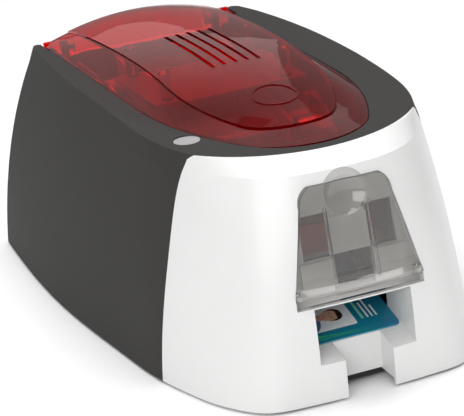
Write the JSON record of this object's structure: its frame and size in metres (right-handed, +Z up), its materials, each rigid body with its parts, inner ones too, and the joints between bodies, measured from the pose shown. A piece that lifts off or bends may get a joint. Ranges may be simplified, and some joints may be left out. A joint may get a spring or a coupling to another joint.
{
  "type": "id card printer",
  "caption": "Desktop plastic-card printer: charcoal case with a white front, a domed see-through lid that carries the print head, a smoked feeder door and an open card tray",
  "frame": {"origin": "on the table below the middle of the printer's bounding box", "axes": "+Z up, the front with the card tray faces -Y, +X is right seen from the front"},
  "size_m": [0.2158, 0.3661, 0.1509],
  "materials": {
    "housing": "fine moulded texture, dark charcoal",
    "lid_red": "glossy transparent red plastic",
    "smoke": "glossy clear smoked plastic",
    "white": "glossy white",
    "grey": "satin light grey",
    "rubber": "matt",
    "zinc": "zinc plated",
    "steel": "plain sheet and ground bar",
    "bush": "natural bearing plastic",
    "tacky": "tacky cleaning rubber",
    "gear": "natural moulded plastic",
    "brass": "turned",
    "black": "fine moulded texture",
    "card": "laminated printed card",
    "spool": "moulded",
    "film": "thin dye ribbon",
    "aluminium": "cast and finned",
    "head": "glazed bar on a dark base",
    "button": "satin light grey",
    "board": "green circuit board",
    "lens": "dark clear lens"
  },
  "bodies": {
    "case": {"main_housing": "housing", "front_fascia": "white", "feeder_bezel": "grey", "base_tray": "housing", "rubber_feet": "rubber", "mounting_screws": "zinc", "chassis_base": "steel", "chassis_left": "steel", "chassis_right": "steel", "shaft_bushes": "bush", "gear_studs": "steel", "card_motor": "zinc", "feed_motor": "zinc", "ribbon_motor": "zinc", "card_track": "black", "card_magazine": "grey", "output_tray": "black", "ribbon_film": "film", "cassette_frame": "spool", "lid_hinge_pins": "steel", "door_hinge_pins": "steel", "switch_board": "board", "indicator_lenses": "lens", "main_board": "board", "power_socket": "black", "usb_socket": "zinc"},
    "lid": {"lid": "lid_red", "head_carrier": "steel", "head_heatsink": "aluminium", "print_head": "head"},
    "door": {"feeder_door": "smoke"},
    "button": {"control_button": "button"},
    "card": {"printed_card": "card"},
    "pick": {"pick_shaft": "steel", "pick_roller": "rubber", "pick_gear": "gear"},
    "entry": {"entry_shaft": "steel", "entry_roller": "rubber", "entry_gear": "gear"},
    "entry_pinch": {"entry_pinch": "steel"},
    "cleaning": {"cleaning_roller": "tacky"},
    "drive": {"drive_shaft": "steel", "drive_roller": "rubber", "drive_gear": "gear"},
    "platen": {"platen_shaft": "steel", "platen_roller": "rubber", "platen_gear": "gear"},
    "drive_pinch": {"drive_pinch": "steel"},
    "track_idler": {"track_idler": "gear"},
    "reduction": {"reduction_gear": "gear"},
    "card_pinion": {"card_pinion": "brass"},
    "feed_idler": {"feed_idler": "gear"},
    "feed_pinion": {"feed_pinion": "brass"},
    "takeup": {"takeup_spool": "spool", "takeup_wrap": "film", "takeup_gear": "gear"},
    "supply": {"supply_spool": "spool", "supply_wrap": "film"},
    "ribbon_pinion": {"ribbon_pinion": "brass"}
  },
  "joints": [
    {"name": "lid_swing", "type": "hinge", "parent": "case", "child": "lid", "pos_m": [0, 0.158, 0.1295], "axis": [-1, 0, 0], "range_deg": [0, 72]},
    {"name": "door_swing", "type": "hinge", "parent": "case", "child": "door", "pos_m": [0, -0.172, 0.062], "axis": [1, 0, 0], "range_deg": [0, 50]},
    {"name": "button_press", "type": "slide", "parent": "case", "child": "button", "axis": [0, 0, -1], "range_m": [0, 0.001], "stiffness_N_per_m": 600, "springref_m": -0.0005},
    {"name": "card_slide", "type": "slide", "parent": "case", "child": "card", "axis": [0, -0.9659, -0.2588], "range_m": [0, 0.07]},
    {"name": "pick_turn", "type": "hinge", "parent": "case", "child": "pick", "pos_m": [0, -0.1035, 0.0686], "axis": [1, 0, 0], "continuous": true},
    {"name": "entry_turn", "type": "hinge", "parent": "case", "child": "entry", "pos_m": [0, -0.052, 0.0686], "axis": [1, 0, 0], "continuous": true},
    {"name": "entry_pinch_turn", "type": "hinge", "parent": "case", "child": "entry_pinch", "pos_m": [0, -0.052, 0.0827], "axis": [1, 0, 0], "continuous": true},
    {"name": "cleaning_turn", "type": "hinge", "parent": "case", "child": "cleaning", "pos_m": [0, -0.028, 0.0837], "axis": [1, 0, 0], "continuous": true},
    {"name": "drive_turn", "type": "hinge", "parent": "case", "child": "drive", "pos_m": [0, 0.02528, 0.06997], "axis": [1, 0, 0], "continuous": true},
    {"name": "platen_turn", "type": "hinge", "parent": "case", "child": "platen", "pos_m": [0, 0.05339, 0.0775], "axis": [1, 0, 0], "continuous": true},
    {"name": "drive_pinch_turn", "type": "hinge", "parent": "case", "child": "drive_pinch", "pos_m": [0, 0.02171, 0.0833], "axis": [1, 0, 0], "continuous": true},
    {"name": "track_idler_turn", "type": "hinge", "parent": "case", "child": "track_idler", "pos_m": [0, 0.03934, 0.07374], "axis": [1, 0, 0], "continuous": true},
    {"name": "reduction_turn", "type": "hinge", "parent": "case", "child": "reduction", "pos_m": [0, 0.06006, 0.05263], "axis": [1, 0, 0], "continuous": true},
    {"name": "card_pinion_turn", "type": "hinge", "parent": "case", "child": "card_pinion", "pos_m": [0, 0.06548, 0.03239], "axis": [1, 0, 0], "continuous": true},
    {"name": "feed_idler_turn", "type": "hinge", "parent": "case", "child": "feed_idler", "pos_m": [0, -0.07775, 0.0686], "axis": [1, 0, 0], "continuous": true},
    {"name": "feed_pinion_turn", "type": "hinge", "parent": "case", "child": "feed_pinion", "pos_m": [0, -0.07775, 0.04765], "axis": [1, 0, 0], "continuous": true},
    {"name": "takeup_turn", "type": "hinge", "parent": "case", "child": "takeup", "pos_m": [0, 0.00848, 0.09829], "axis": [1, 0, 0], "continuous": true},
    {"name": "supply_turn", "type": "hinge", "parent": "case", "child": "supply", "pos_m": [0, 0.08189, 0.11796], "axis": [1, 0, 0], "continuous": true},
    {"name": "ribbon_pinion_turn", "type": "hinge", "parent": "case", "child": "ribbon_pinion", "pos_m": [0, -0.01021, 0.09328], "axis": [1, 0, 0], "continuous": true}
  ],
  "couplings": [
    {"joint": "drive_turn", "follows": "platen_turn", "ratio": 1},
    {"joint": "track_idler_turn", "follows": "platen_turn", "ratio": -2},
    {"joint": "reduction_turn", "follows": "platen_turn", "ratio": -0.6},
    {"joint": "card_pinion_turn", "follows": "platen_turn", "ratio": 2},
    {"joint": "pick_turn", "follows": "entry_turn", "ratio": 1},
    {"joint": "feed_idler_turn", "follows": "entry_turn", "ratio": -0.6},
    {"joint": "feed_pinion_turn", "follows": "entry_turn", "ratio": 2},
    {"joint": "ribbon_pinion_turn", "follows": "takeup_turn", "ratio": -3},
    {"joint": "supply_turn", "follows": "takeup_turn", "ratio": 0.71429}
  ]
}
